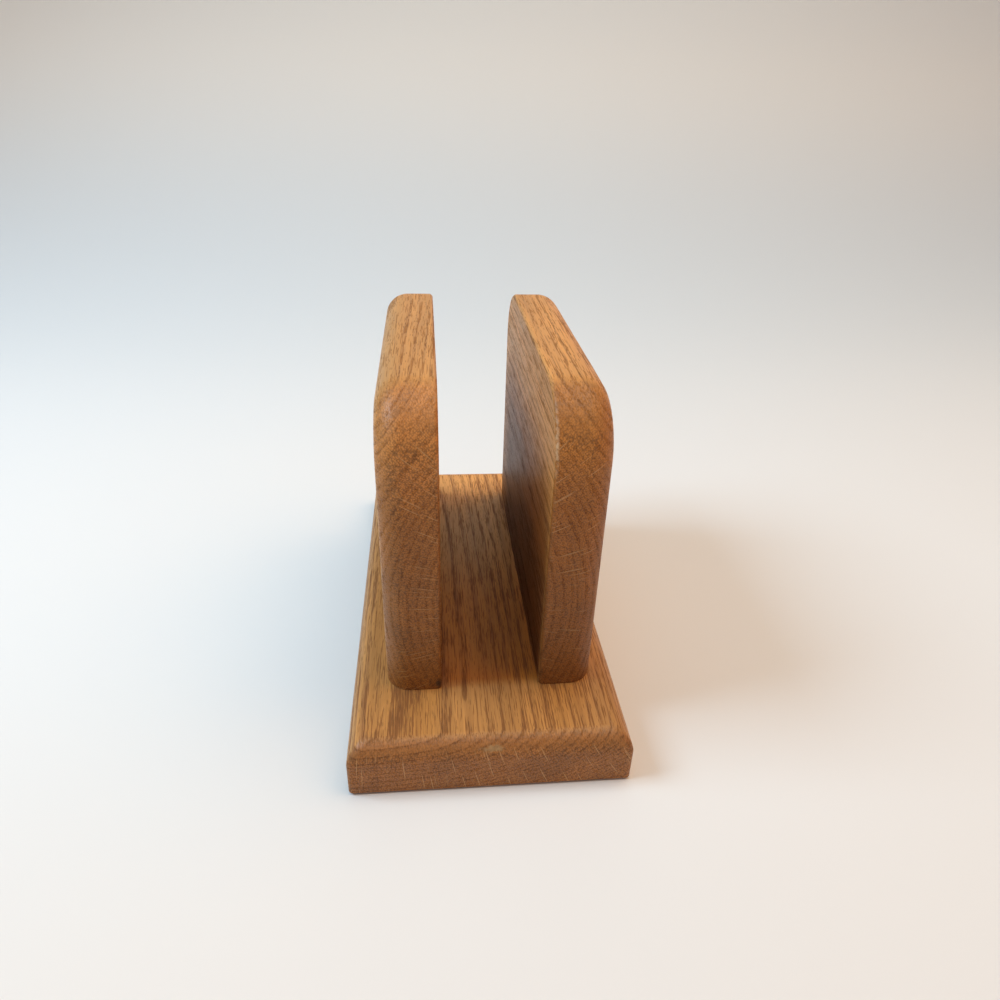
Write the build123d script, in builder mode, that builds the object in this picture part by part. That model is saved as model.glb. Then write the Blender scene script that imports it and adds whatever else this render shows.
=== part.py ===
"""Napkin holder: two oak uprights screwed to an oak base, with a slot for napkins between them.

Millimetres. X runs across the base, Y along it and Z up. The origin is the centre of the base's underside.
"""

from build123d import *
import os
from math import radians, tan

# Base board
base_length = 185.0
base_width = 91.0
base_thickness = 19.0
base_top_round = 6.5
base_bottom_ease = 1.0
base_corner_ease = 1.5

# Uprights
upright_length = 134.0
upright_height = 103.5
upright_thickness = 18.5
upright_corner_radius = 22.0
upright_outer_round = 8.0
upright_inner_ease = 1.2

# The slot between the uprights, and how far the hand-placed pair stands from the base's middle
slot_width = 33.0
pair_offset = 1.25

# Countersunk wood screws, driven up through the base into the uprights' feet
screw_length = 38.0
screw_diameter = 4.2
screw_head_diameter = 8.2
screw_head_rim = 0.4
screw_head_angle = 82.0
screw_tip_length = 6.0
screw_tip_diameter = 0.6
screw_end_distance = 28.0
screw_sink = 0.8

# Cross recess in each screw head
recess_span = 4.6
recess_arm_width = 1.1
recess_depth = 2.2
recess_floor_diameter = 1.6

# Room around each screw
shank_clearance = 0.15
head_clearance = 0.2
tip_clearance = 1.5

screw_radius = screw_diameter / 2
head_radius = screw_head_diameter / 2
countersink_radius = head_radius + head_clearance
pilot_depth = screw_sink + screw_length + tip_clearance - base_thickness

sides = {"left": -1, "right": 1}
ends = {"front": -1, "back": 1}


def cone_height(wide_radius, narrow_radius):
    """Height of the screw head's cone between two of its radii."""
    return (wide_radius - narrow_radius) / tan(radians(screw_head_angle / 2))


def screw_spots(side, height):
    """The two points, under one upright and at this height, where screws pass."""
    across = pair_offset + side * (slot_width + upright_thickness) / 2
    along = upright_length / 2 - screw_end_distance
    return [(across, end * along, height) for end in ends.values()]


def facing_down(spots):
    """Planes at these points whose holes run upward into the wood."""
    return [Plane(origin=spot, z_dir=(0, 0, -1)) for spot in spots]


os.makedirs("parts", exist_ok=True)

# Base board: its top edges are rounded over, and its upright corners and bottom edges only sanded.
# The countersinks are a little wider than the heads, on the same cone, so they start a little lower.
countersink_start = screw_sink + screw_head_rim - cone_height(countersink_radius, head_radius)
with BuildPart() as base_board:
    with BuildSketch():
        Rectangle(base_width, base_length)
    extrude(amount=base_thickness)
    fillet(base_board.faces().sort_by(Axis.Z)[-1].edges(), base_top_round)
    with BuildSketch():
        RectangleRounded(base_width, base_length, base_corner_ease)
    extrude(amount=base_thickness, mode=Mode.INTERSECT)
    fillet(base_board.faces().sort_by(Axis.Z)[0].edges(), base_bottom_ease)
    for side in sides.values():
        with Locations(*facing_down(screw_spots(side, countersink_start))):
            CounterSinkHole(
                screw_radius + shank_clearance,
                countersink_radius,
                counter_sink_angle=screw_head_angle,
            )
base_board.part.label = "base_board"
export_step(base_board.part, "parts/base_board.step")

# Uprights: both top corners rounded, the outer edges rounded over, the inner edges only sanded
for side_name, side in sides.items():
    inner_index, outer_index = (0, -1) if side > 0 else (-1, 0)
    with BuildPart() as upright:
        with BuildSketch(Plane.YZ.offset(pair_offset + side * slot_width / 2)) as outline:
            with Locations((0, base_thickness)):
                Rectangle(upright_length, upright_height, align=(Align.CENTER, Align.MIN))
            fillet(outline.vertices().group_by(Axis.Y)[-1], upright_corner_radius)
        extrude(amount=side * upright_thickness)
        outer_edges = upright.faces().sort_by(Axis.X)[outer_index].edges()
        fillet(outer_edges.sort_by(Axis.Z)[1:], upright_outer_round)
        inner_edges = upright.faces().sort_by(Axis.X)[inner_index].edges()
        fillet(inner_edges.sort_by(Axis.Z)[1:], upright_inner_ease)
        with Locations(*facing_down(screw_spots(side, base_thickness))):
            Hole(screw_radius, pilot_depth)
    upright.part.label = f"{side_name}_upright"
    export_step(upright.part, f"parts/{side_name}_upright.step")

# The space of a screw head's cross recess, narrowing away from the head's face
with BuildPart() as recess:
    with BuildSketch():
        Rectangle(recess_span, recess_arm_width)
        Rectangle(recess_arm_width, recess_span)
    extrude(amount=recess_depth)
    Cone(
        recess_span / 2,
        recess_floor_diameter / 2,
        recess_depth,
        align=(Align.CENTER, Align.CENTER, Align.MIN),
        mode=Mode.INTERSECT,
    )

# Screws: a countersunk head, a shank with its thread drawn as a plain cylinder at the crest, and a tip
neck_height = screw_head_rim + cone_height(head_radius, screw_radius)
for side_name, side in sides.items():
    for end_name, head_centre in zip(ends, screw_spots(side, screw_sink)):
        with BuildPart() as screw:
            with BuildSketch(Plane(origin=head_centre, x_dir=(1, 0, 0), z_dir=(0, -1, 0))):
                with BuildLine():
                    Polyline(
                        (0, 0),
                        (head_radius, 0),
                        (head_radius, screw_head_rim),
                        (screw_radius, neck_height),
                        (screw_radius, screw_length - screw_tip_length),
                        (screw_tip_diameter / 2, screw_length),
                        (0, screw_length),
                        close=True,
                    )
                make_face()
            revolve(axis=Axis(head_centre, (0, 0, 1)))
            with Locations(head_centre):
                add(recess.part, mode=Mode.SUBTRACT)
        screw.part.label = f"screw_{side_name}_{end_name}"
        export_step(screw.part, f"parts/screw_{side_name}_{end_name}.step")
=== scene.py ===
"""Solid oak napkin holder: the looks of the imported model.

Two round-cornered uprights stand on a base board, held from below by countersunk screws. Every
board is remade as a finer mesh with hand-sanded edges, and every finish is procedural, so the
growth rings, pores and rays run through each board from face to face as they do in sawn wood.
All sizes are in metres unless a name ends in _mm.
"""

from __future__ import annotations

import logging
import math
from dataclasses import dataclass
from enum import Enum
from typing import Iterable, Mapping, Sequence

import bmesh
import bpy
from mathutils import Matrix, Vector, noise


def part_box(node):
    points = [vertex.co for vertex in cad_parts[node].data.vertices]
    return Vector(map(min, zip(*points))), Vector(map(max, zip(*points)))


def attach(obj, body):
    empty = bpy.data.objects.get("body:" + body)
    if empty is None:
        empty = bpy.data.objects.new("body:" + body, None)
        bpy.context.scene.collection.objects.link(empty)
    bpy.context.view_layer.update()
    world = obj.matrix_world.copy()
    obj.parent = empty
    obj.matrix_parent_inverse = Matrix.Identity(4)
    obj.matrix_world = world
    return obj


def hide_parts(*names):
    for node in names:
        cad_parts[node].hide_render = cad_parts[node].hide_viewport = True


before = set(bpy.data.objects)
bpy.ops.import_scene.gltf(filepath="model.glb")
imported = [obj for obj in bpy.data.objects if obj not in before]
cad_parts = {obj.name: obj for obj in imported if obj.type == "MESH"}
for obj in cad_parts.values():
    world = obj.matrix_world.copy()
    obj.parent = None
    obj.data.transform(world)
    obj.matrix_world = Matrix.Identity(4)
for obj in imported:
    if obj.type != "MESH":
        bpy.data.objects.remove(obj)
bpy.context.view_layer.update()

LOG = logging.getLogger("napkin_holder")
MM_PER_M = 1000.0
WEAR = "edge_wear"
GIVEN_NORMAL = "given_normal"
BODY = "root"
UP = Vector((0.0, 0.0, 1.0))
DOWN = Vector((0.0, 0.0, -1.0))

Span = tuple[float, float]
Triple = tuple[float, float, float]
Colour = Triple
Out = bpy.types.NodeSocket
Vert = bmesh.types.BMVert
Row = list[tuple[Vert, Vector]]
Line = list[tuple[Vector, Vector]]


# ---------------------------------------------------------------------------------------------
# Shader graphs
# ---------------------------------------------------------------------------------------------


class Socket(Enum):
    """The kinds of socket that a node group here has."""

    VALUE = "NodeSocketFloat"
    VECTOR = "NodeSocketVector"


class Mark(Enum):
    """How a colour changes the one under it."""

    COVER = "MIX"
    TINT = "MULTIPLY"


class Graph:
    """Adds nodes to one node tree, and wires each input as the node is made."""

    def __init__(self, tree: bpy.types.NodeTree) -> None:
        """Empties a node tree and works on it."""
        tree.nodes.clear()
        self.tree = tree

    def node(self, kind: str, *sources: object, **settings: object) -> bpy.types.Node:
        """Makes one node.

        Args:
            kind: Blender's node type.
            sources: Outputs or plain values for its inputs, in order.
            settings: Values for the node's own properties.

        Returns:
            The new node.
        """
        made = self.tree.nodes.new(kind)
        for name, value in settings.items():
            setattr(made, name, value)
        for socket, source in zip(made.inputs, sources):
            self.feed(socket, source)
        return made

    def feed(self, socket: bpy.types.NodeSocket, source: object) -> None:
        """Links a socket to an output, or sets its value.

        Args:
            socket: The input.
            source: An output, a number, a vector or an opaque colour.
        """
        if isinstance(source, bpy.types.NodeSocket):
            self.tree.links.new(source, socket)
        elif socket.type == "RGBA":
            socket.default_value = (*source, 1.0)
        else:
            socket.default_value = source

    def math(self, operation: str, *sources: object, clamp: bool = False) -> Out:
        """The output of a Math node, kept between 0 and 1 if clamp is set."""
        return self.node("ShaderNodeMath", *sources, operation=operation, use_clamp=clamp).outputs[0]

    def product(self, first: object, *others: object) -> Out:
        """The product of two or more values.

        Args:
            first: An output or a number.
            others: Further outputs or numbers.

        Returns:
            The product.
        """
        for other in others:
            first = self.math("MULTIPLY", first, other)
        return first

    def vector(self, operation: str, *sources: object) -> Out:
        """The output of a Vector Math node."""
        return self.node("ShaderNodeVectorMath", *sources, operation=operation).outputs["Vector"]

    def in_mm(self, vector: object) -> Out:
        """A position in millimetres."""
        return self.vector("MULTIPLY", vector, (MM_PER_M,) * 3)

    def split(self, vector: object) -> list[Out]:
        """The three parts of a vector."""
        return list(self.node("ShaderNodeSeparateXYZ", vector).outputs)

    def join(self, x: object, y: object, z: object) -> Out:
        """A vector of three parts."""
        return self.node("ShaderNodeCombineXYZ", x, y, z).outputs[0]

    def grey(self, tone: object) -> Out:
        """A grey of one tone."""
        return self.node("ShaderNodeCombineColor", tone, tone, tone).outputs[0]

    def step(self, value: object, low: object, high: object, rising: bool = True) -> Out:
        """A smooth step.

        Args:
            value: What is tested.
            low: Where the step starts.
            high: Where the step ends.
            rising: Goes from 0 to 1, or else from 1 to 0.

        Returns:
            A value from 0 to 1.
        """
        start, end = (0.0, 1.0) if rising else (1.0, 0.0)
        kind = "ShaderNodeMapRange"
        made = self.node(kind, value, low, high, start, end, interpolation_type="SMOOTHSTEP")
        return made.outputs["Result"]

    def _mix(self, kind: str, values: Sequence[object], **settings: object) -> Out:
        """One Mix node.

        Args:
            kind: The kind of value that it mixes, as in the names of its sockets.
            values: The share, the value at 0 and the value at 1.
            settings: Values for the node's own properties.

        Returns:
            The mixed value.
        """
        made = self.node("ShaderNodeMix", clamp_factor=True, **settings)
        sources = dict(zip(("Factor_Float", f"A_{kind}", f"B_{kind}"), values))
        for socket in made.inputs:
            if socket.identifier in sources:
                self.feed(socket, sources[socket.identifier])
        return next(socket for socket in made.outputs if socket.identifier == f"Result_{kind}")

    def between(self, share: object, low: object, high: object) -> Out:
        """A value that goes from low to high as share goes from 0 to 1."""
        return self._mix("Float", (share, low, high), data_type="FLOAT")

    def blend(self, share: object, under: object, over: object, mark: Mark = Mark.COVER) -> Out:
        """A colour that goes from one to another, or to their product, as share goes from 0 to 1."""
        return self._mix("Color", (share, under, over), data_type="RGBA", blend_type=mark.value)

    def stretched(self, vector: object, cell: Triple, seed: object) -> Out:
        """A position counted in cells of a size, and moved by a seed."""
        return self.vector("ADD", self.vector("DIVIDE", vector, cell), self.join(seed, seed, seed))

    def cloud(self, vector: object, detail: float = 1.0, roughness: float = 0.5) -> bpy.types.Node:
        """A Noise Texture node at one cell per unit.

        Args:
            vector: The position in cells.
            detail: How many finer layers it has.
            roughness: How strong the finer layers are.

        Returns:
            The node.
        """
        made = self.node("ShaderNodeTexNoise", noise_dimensions="3D")
        sources = {"Vector": vector, "Scale": 1.0, "Detail": detail, "Roughness": roughness}
        for name, source in sources.items():
            self.feed(made.inputs[name], source)
        return made

    def noise(
        self, vector: object, cell: Triple, seed: object, detail: float = 1.0, roughness: float = 0.5
    ) -> Out:
        """Smooth noise from 0 to 1 with cells of a size."""
        return self.cloud(self.stretched(vector, cell, seed), detail, roughness).outputs[0]

    def cells(self, vector: object, cell: Triple, seed: object, randomness: float = 1.0) -> bpy.types.Node:
        """A Voronoi Texture node with one point to each cell.

        Args:
            vector: A position.
            cell: The size of one cell along each axis.
            seed: A number that moves the pattern.
            randomness: How far the points lie from a plain grid.

        Returns:
            The node.
        """
        made = self.node("ShaderNodeTexVoronoi", voronoi_dimensions="3D", feature="F1")
        place = self.stretched(vector, cell, seed)
        for name, source in (("Vector", place), ("Scale", 1.0), ("Randomness", randomness)):
            self.feed(made.inputs[name], source)
        return made

    def chosen(self, cells: bpy.types.Node, rarity: object) -> Out:
        """1 in some of a Voronoi Texture's cells and 0 in the rest, whose share is the rarity."""
        return self.math("GREATER_THAN", self.split(cells.outputs["Color"])[0], rarity)

    def group(self, group: bpy.types.NodeTree, **sources: object) -> Mapping[str, Out]:
        """Places a node group.

        Args:
            group: The group.
            sources: Outputs or values for its inputs; an underscore in a name stands for a space.

        Returns:
            The group's outputs.
        """
        made = self.node("ShaderNodeGroup", node_tree=group)
        for name, source in sources.items():
            self.feed(made.inputs[name.replace("_", " ")], source)
        return made.outputs

    def surface(self, relief: object = None, bump: Span = (0.0, 0.0), **sources: object) -> None:
        """Makes the material's Principled BSDF and its output.

        Args:
            relief: The height for a Bump node, if it has one.
            bump: The Bump node's strength and its distance.
            sources: Outputs or values for the shader's inputs; an underscore stands for a space.
        """
        shader = self.node("ShaderNodeBsdfPrincipled")
        for name, source in sources.items():
            self.feed(shader.inputs[name.replace("_", " ")], source)
        if relief is not None:
            made = self.node("ShaderNodeBump")
            for name, source in (("Strength", bump[0]), ("Distance", bump[1]), ("Height", relief)):
                self.feed(made.inputs[name], source)
            self.feed(shader.inputs["Normal"], made.outputs["Normal"])
        self.node("ShaderNodeOutputMaterial", shader.outputs["BSDF"])


def new_material(name: str) -> tuple[bpy.types.Material, Graph]:
    """Starts a material.

    Args:
        name: Its name.

    Returns:
        The material and its empty graph.
    """
    made = bpy.data.materials.new(name)
    made.use_nodes = True
    return made, Graph(made.node_tree)


class PatternGroup:
    """A shader node group with named inputs and outputs."""

    def __init__(
        self,
        name: str,
        vectors: Sequence[str],
        values: Sequence[str],
        outputs: Sequence[str],
        kind: Socket = Socket.VALUE,
    ) -> None:
        """Starts the group.

        Args:
            name: The group's name.
            vectors: The names of its vector inputs.
            values: The names of its number inputs.
            outputs: The names of its outputs.
            kind: The kind of its outputs.
        """
        self.tree = bpy.data.node_groups.new(name, "ShaderNodeTree")
        inputs = {label: Socket.VECTOR for label in vectors} | {label: Socket.VALUE for label in values}
        for direction, sockets in (("INPUT", inputs), ("OUTPUT", dict.fromkeys(outputs, kind))):
            for label, shape in sockets.items():
                self.tree.interface.new_socket(label, in_out=direction, socket_type=shape.value)
        self.graph = Graph(self.tree)
        self.inputs = self.graph.node("NodeGroupInput").outputs
        self.sink = self.graph.node("NodeGroupOutput")

    def put(self, name: str, source: object) -> None:
        """Wires one of the group's outputs."""
        self.graph.feed(self.sink.inputs[name], source)


class OakPatterns:
    """The patterns of ring-porous oak as node groups, each built once and shared by all boards.

    Cells are in millimetres. Those of the rings, vessels and rays are measured round the pith, along it
    and out from it, and the others along the board's own axes.
    """

    SWAYS = (((38.0, 150.0, 38.0), 2.0), ((8.0, 60.0, 8.0), 0.5))
    BOW_LENGTH_MM = 100.0

    YEARS_MM = 9.0
    YEARS_DRIFT = 2.4
    RAGGED_CELL = (1.3, 12.0, 1.1)
    RAGGED = 0.34
    EARLY_START = (0.0, 0.12)
    FADE_START = 0.16
    FADE_END = 0.42
    FADE_END_DRIFT = 0.3
    GAP_CELL = (3.0, 20.0, 1.2)
    GAP = (0.36, 0.6)
    GAP_LEFT = 0.35

    TUBE_CELL = (0.38, 4.4, 0.38)
    TUBE_REACH = 0.34
    TUBE_REACH_EARLY = 0.16
    TUBE_CORE = 0.6
    TUBE_RARITY = (0.62, 0.2)
    THREAD_CELL = (0.4, 13.0, 0.4)
    THREAD_LEVEL = 0.56
    THREAD_EDGE = 0.07
    THREAD_EARLY = 0.12
    PATCH_CELL = (3.0, 30.0, 3.0)
    PATCH = (-0.05, 0.06)
    FIBRE_CELL = (0.5, 26.0, 0.5)
    WEAVE_CELL = (0.56, 3.4, 0.62)
    WEAVE_RANDOMNESS = 0.7
    WEAVE = (0.28, 0.78)

    RAYS = (("Broad", (0.42, 13.0, 13.0), 0.84), ("Fine", (0.26, 2.4, 6.0), 0.82))
    RAY_BODY = (0.2, 0.46)

    WORN_CELL = (16.0, 16.0, 16.0)
    WORN = (0.4, 0.62)
    NICK_CELL = (1.4, 1.4, 1.4)
    NICK = (0.35, 0.6)

    BLOT_CELL = (1.1, 1.1, 1.1)
    BLOT_SEED = 5.0
    BLOT_EDGE = (0.35, 1.0)

    # Painted shade in the slot between the uprights: how far it reaches past the sides, fades in at the near
    # end and rises above the foot, in millimetres.
    SLOT_SHADE_SIDE = (0.4, 1.4)
    SLOT_SHADE_NEAR_FADE = 6.0
    SLOT_SHADE_RISE = 4.0

    def __init__(self) -> None:
        """Builds every group."""
        self.axes = self._axes()
        self.rings = self._rings()
        self.vessels = self._vessels()
        self.rays = self._rays()
        self.wear = self._wear()
        self.blot = self._blot()
        self.painted_slot_shade = self._painted_slot_shade()

    def _axes(self) -> bpy.types.NodeTree:
        """Turns a place in a board into a place in the tree: round the pith, along it, and out from it.

        Returns:
            The group.
        """
        made = PatternGroup(
            "tree_axes",
            ("Position",),
            ("Pith X", "Pith Z", "Lean X", "Lean Z", "Bow", "Mean Radius", "Waviness", "Seed"),
            ("Wood", "Straight"),
            Socket.VECTOR,
        )
        g, at = made.graph, made.inputs
        place = g.in_mm(at["Position"])
        made.put("Straight", self._round_pith(g, at, place))
        for cell, share in self.SWAYS:
            field = g.cloud(g.stretched(place, cell, at["Seed"])).outputs["Color"]
            centred = g.vector("SUBTRACT", field, (0.5, 0.5, 0.5))
            reach = g.math("MULTIPLY", at["Waviness"], share)
            place = g.vector("ADD", place, g.vector("MULTIPLY", centred, g.join(reach, 0.0, reach)))
        made.put("Wood", self._round_pith(g, at, place))
        return made.tree

    def _round_pith(self, g: Graph, at: Mapping[str, Out], place: Out) -> Out:
        """A place counted round the pith, along it and out from it.

        Args:
            g: The group's graph.
            at: The group's inputs.
            place: The place in millimetres.

        Returns:
            The three lengths.
        """
        x, y, z = g.split(place)
        share = g.math("DIVIDE", y, self.BOW_LENGTH_MM)
        bend = g.product(share, share, at["Bow"])
        across, up = (
            g.math("SUBTRACT", g.math("SUBTRACT", part, at[f"Pith {axis}"]), g.product(y, at[f"Lean {axis}"]))
            for part, axis in ((x, "X"), (z, "Z"))
        )
        up = g.math("SUBTRACT", up, bend)
        radius = g.math("SQRT", g.math("MULTIPLY_ADD", across, across, g.product(up, up)))
        return g.join(g.product(g.math("ARCTAN2", across, up), at["Mean Radius"]), y, radius)

    def _rings(self) -> bpy.types.NodeTree:
        """Growth rings: porous earlywood that starts abruptly, fades, and comes and goes along the ring.

        Returns:
            The group.
        """
        made = PatternGroup("growth_rings", ("Wood",), ("Ring Width", "Seed"), ("Early", "Tint"))
        g, at = made.graph, made.inputs
        radius = g.split(at["Wood"])[2]
        run = g.join(g.math("DIVIDE", radius, self.YEARS_MM), at["Seed"], 0.0)
        years = g.cloud(run, detail=2.0).outputs[0]
        ragged = g.noise(at["Wood"], self.RAGGED_CELL, at["Seed"], detail=2.0)
        count = g.math("MULTIPLY_ADD", years, self.YEARS_DRIFT, g.math("DIVIDE", radius, at["Ring Width"]))
        count = g.math("MULTIPLY_ADD", g.math("SUBTRACT", ragged, 0.5), self.RAGGED, count)
        phase = g.math("FRACT", count)
        ring = g.node("ShaderNodeTexWhiteNoise", noise_dimensions="1D")
        g.feed(ring.inputs["W"], g.math("ADD", g.math("FLOOR", count), at["Seed"]))
        tint = ring.outputs["Value"]
        fade_end = g.math("MULTIPLY_ADD", tint, self.FADE_END_DRIFT, self.FADE_END)
        fade = g.step(phase, self.FADE_START, fade_end, rising=False)
        band = g.product(g.step(phase, *self.EARLY_START), fade)
        gaps = g.noise(at["Wood"], self.GAP_CELL, at["Seed"], detail=2.0)
        made.put("Early", g.product(band, g.between(g.step(gaps, *self.GAP), self.GAP_LEFT, 1.0)))
        made.put("Tint", tint)
        return made.tree

    def _vessels(self) -> bpy.types.NodeTree:
        """Pores and fibres: open tubes along the grain, wide in earlywood and fine in latewood.

        Returns:
            The group.
        """
        outputs = ("Pores", "Streaks", "Fibre", "Weave")
        made = PatternGroup("vessels", ("Wood",), ("Early", "Seed"), outputs)
        g, at = made.graph, made.inputs
        wood, early, seed = at["Wood"], at["Early"], at["Seed"]
        tubes = g.cells(wood, self.TUBE_CELL, seed)
        reach = g.math("MULTIPLY_ADD", early, self.TUBE_REACH_EARLY, self.TUBE_REACH)
        body = g.step(tubes.outputs["Distance"], g.product(reach, self.TUBE_CORE), reach, rising=False)
        made.put("Pores", g.product(body, g.chosen(tubes, g.between(early, *self.TUBE_RARITY))))
        thread = g.noise(wood, self.THREAD_CELL, seed, detail=2.0)
        patch = g.between(g.noise(wood, self.PATCH_CELL, seed), *self.PATCH)
        dense = g.math("MULTIPLY_ADD", early, self.THREAD_EARLY, patch)
        level = g.math("SUBTRACT", self.THREAD_LEVEL, dense)
        made.put("Streaks", g.step(thread, level, g.math("ADD", level, self.THREAD_EDGE)))
        made.put("Fibre", g.noise(wood, self.FIBRE_CELL, seed, detail=3.0, roughness=0.6))
        weave = g.cells(wood, self.WEAVE_CELL, seed, self.WEAVE_RANDOMNESS)
        made.put("Weave", g.step(weave.outputs["Distance"], *self.WEAVE, rising=False))
        return made.tree

    def _rays(self) -> bpy.types.NodeTree:
        """Medullary rays: thin ribbons that run out from the pith.

        Returns:
            The group.
        """
        made = PatternGroup("rays", ("Straight",), ("Seed",), ("Broad", "Fine"))
        g, at = made.graph, made.inputs
        for output, cell, rarity in self.RAYS:
            ribbon = g.cells(at["Straight"], cell, at["Seed"])
            body = g.step(ribbon.outputs["Distance"], *self.RAY_BODY, rising=False)
            made.put(output, g.product(body, g.chosen(ribbon, rarity)))
        return made.tree

    def _wear(self) -> bpy.types.NodeTree:
        """Wear on sanded edges, broken up so that it comes and goes along the edge.

        Returns:
            The group.
        """
        made = PatternGroup("edge_wear", ("Position",), ("Edge", "Amount", "Seed"), ("Wear",))
        g, at = made.graph, made.inputs
        place = g.in_mm(at["Position"])
        long_patches = g.step(g.noise(place, self.WORN_CELL, at["Seed"]), *self.WORN)
        nicks = g.step(g.noise(place, self.NICK_CELL, at["Seed"], detail=2.0), *self.NICK)
        worn = g.product(at["Edge"], g.product(long_patches, nicks))
        made.put("Wear", g.math("MULTIPLY", worn, at["Amount"], clamp=True))
        return made.tree

    def _blot(self) -> bpy.types.NodeTree:
        """A small blot round one place, with a ragged edge.

        Returns:
            The group.
        """
        made = PatternGroup("blot", ("Position", "Centre", "Reach"), ("Ragged",), ("Mask",))
        g, at = made.graph, made.inputs
        place = g.in_mm(at["Position"])
        away = g.vector("DIVIDE", g.vector("SUBTRACT", place, at["Centre"]), at["Reach"])
        length = g.node("ShaderNodeVectorMath", away, operation="LENGTH").outputs["Value"]
        rough = g.noise(place, self.BLOT_CELL, self.BLOT_SEED, detail=2.0)
        edge = g.math("MULTIPLY_ADD", g.math("SUBTRACT", rough, 0.5), at["Ragged"], length)
        made.put("Mask", g.step(edge, *self.BLOT_EDGE, rising=False))
        return made.tree

    def _painted_slot_shade(self) -> bpy.types.NodeTree:
        """Painted shade: a mask over the space between the uprights, darkest on the slot's floor and low on
        its inner faces, where shade falls.

        Returns:
            The group.
        """
        values = ("Middle", "Half Width", "Near End", "Far Start", "Far End", "Foot", "Fade Height")
        made = PatternGroup("painted_slot_shade", ("Position",), values, ("Mask",))
        g, at = made.graph, made.inputs
        x, y, z = g.split(g.in_mm(at["Position"]))
        side = g.math("ABSOLUTE", g.math("SUBTRACT", x, at["Middle"]))
        low_side, high_side = (g.math("ADD", at["Half Width"], past) for past in self.SLOT_SHADE_SIDE)
        narrow = g.step(side, low_side, high_side, rising=False)
        near = g.step(y, at["Near End"], g.math("ADD", at["Near End"], self.SLOT_SHADE_NEAR_FADE))
        far = g.step(y, at["Far Start"], at["Far End"], rising=False)
        above = g.math("GREATER_THAN", z, at["Foot"])
        low = g.step(z, g.math("ADD", at["Foot"], self.SLOT_SHADE_RISE), at["Fade Height"], rising=False)
        made.put("Mask", g.product(narrow, near, g.product(far, above), low))
        return made.tree


# ---------------------------------------------------------------------------------------------
# Finishes
# ---------------------------------------------------------------------------------------------


@dataclass(frozen=True)
class Blot:
    """A mark on the wood's colour, with its place and reach in millimetres. Some blots are real marks, and
    some are painted shade and painted light.
    """

    centre_mm: Triple
    reach_mm: Triple
    colour: Colour
    strength: float = 1.0
    ragged: float = 1.2
    mark: Mark = Mark.COVER

    def over(self, g: Graph, oak: OakPatterns, place: Out, colour: Out) -> Out:
        """Puts the mark on a colour.

        Args:
            g: The material's graph.
            oak: The shared oak patterns.
            place: The place on the board.
            colour: The colour under the mark.

        Returns:
            The colour with the mark.
        """
        sockets = {"Centre": self.centre_mm, "Reach": self.reach_mm, "Ragged": self.ragged}
        mask = g.group(oak.blot, Position=place, **sockets)["Mask"]
        return g.blend(g.product(mask, self.strength), colour, self.colour, self.mark)


@dataclass(frozen=True)
class Slot:
    """The space between the uprights that painted shade darkens, in millimetres."""

    middle_mm: float = 1.25
    half_width_mm: float = 16.5
    near_end_mm: float = -68.0
    far_start_mm: float = 37.0
    far_end_mm: float = 67.0
    foot_mm: float = 18.0
    fade_height_mm: float = 118.0

    def shade(self, g: Graph, oak: OakPatterns, place: Out) -> Out:
        """How strongly painted shade darkens a place in the slot.

        Args:
            g: The material's graph.
            oak: The shared oak patterns.
            place: The place on the board.

        Returns:
            A value from 0 to 1.
        """
        return g.group(
            oak.painted_slot_shade,
            Position=place,
            Middle=self.middle_mm,
            Half_Width=self.half_width_mm,
            Near_End=self.near_end_mm,
            Far_Start=self.far_start_mm,
            Far_End=self.far_end_mm,
            Foot=self.foot_mm,
            Fade_Height=self.fade_height_mm,
        )["Mask"]


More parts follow.
